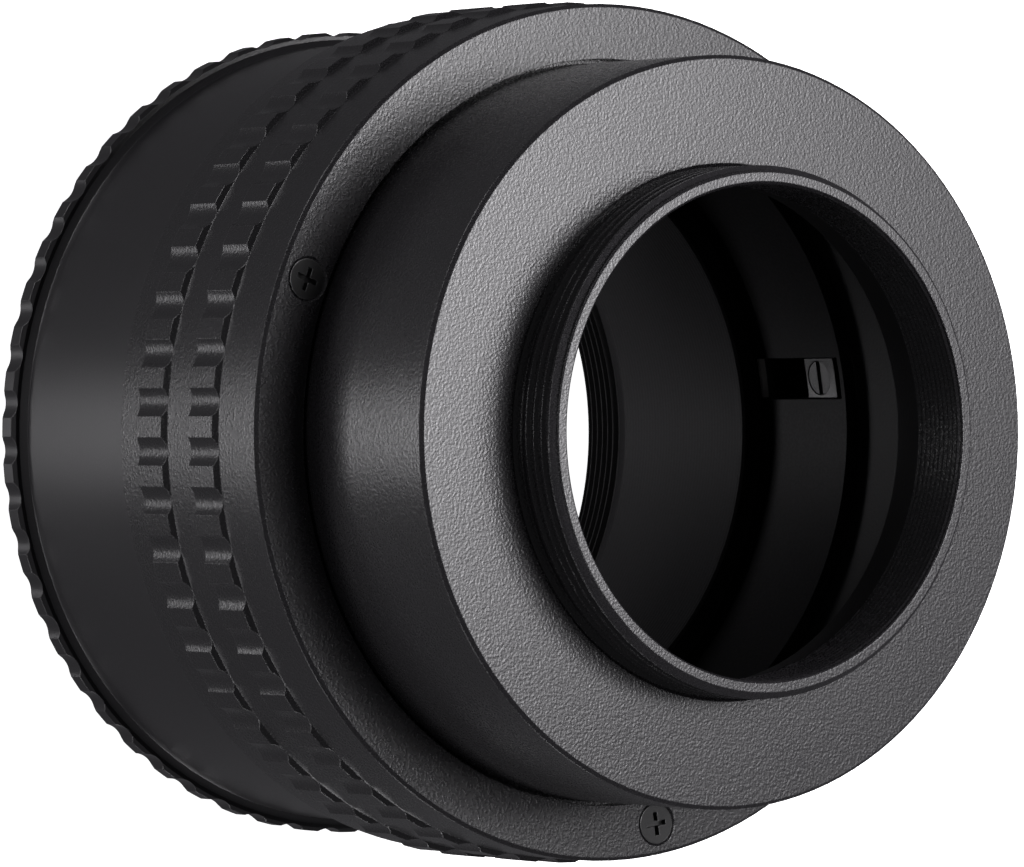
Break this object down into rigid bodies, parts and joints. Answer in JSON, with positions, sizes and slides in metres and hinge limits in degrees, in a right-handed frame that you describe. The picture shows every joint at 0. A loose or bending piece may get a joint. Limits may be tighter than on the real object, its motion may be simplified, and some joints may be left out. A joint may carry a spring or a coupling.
{
  "type": "focusing helicoid",
  "caption": "Black focusing helicoid extension tube: a scooped grip ring draws a smooth barrel with a male mounting thread out of a base with a female thread.",
  "frame": {"origin": "centre of the rear mounting face, on the optical axis", "axes": "+Z along the optical axis, from the female rear thread towards the male front thread; the two barrel keys lie near +Y and -Y"},
  "size_m": [0.0701, 0.07, 0.0594],
  "materials": {
    "anodised_turned": "fine-turned black anodised aluminium",
    "anodised_satin": "satin black anodised aluminium",
    "anodised_blasted": "bead-blasted black anodised aluminium",
    "black_steel": "black oxide steel",
    "key_steel": "bare bright steel, greased",
    "slip_plastic": "unfilled white PTFE"
  },
  "bodies": {
    "base": {"base_sleeve": "anodised_turned", "rear_mount_tube": "anodised_turned", "rear_mount_screws": "black_steel", "base_key_right": "key_steel", "base_key_left": "key_steel", "base_key_screws": "key_steel"},
    "guide": {"guide_sleeve": "anodised_turned"},
    "focus_ring": {"grip_ring": "anodised_satin", "grip_ring_screws": "black_steel", "helicoid_tube": "anodised_turned", "guide_retainer": "anodised_turned", "thrust_washer_rear": "slip_plastic", "thrust_washer_front": "slip_plastic"},
    "barrel": {"barrel_shell": "anodised_blasted", "front_mount_collar": "anodised_blasted", "collar_lock_ring": "anodised_turned", "barrel_key_upper": "key_steel", "barrel_key_lower": "key_steel", "barrel_key_screws": "key_steel"}
  },
  "joints": [
    {"name": "guide_travel", "type": "slide", "parent": "base", "child": "guide", "axis": [0, 0, 1], "range_m": [-0.0127, 0.0003]},
    {"name": "focus_turn", "type": "hinge", "parent": "guide", "child": "focus_ring", "pos_m": [0, 0, 0.0288], "axis": [0, 0, 1], "range_deg": [-346, 8]},
    {"name": "barrel_travel", "type": "slide", "parent": "guide", "child": "barrel", "axis": [0, 0, 1], "range_m": [-0.0127, 0.0003]}
  ],
  "couplings": [
    {"joint": "guide_travel", "follows": "focus_turn", "m_per_rad": 0.0021009},
    {"joint": "barrel_travel", "follows": "focus_turn", "m_per_rad": 0.0021009}
  ]
}
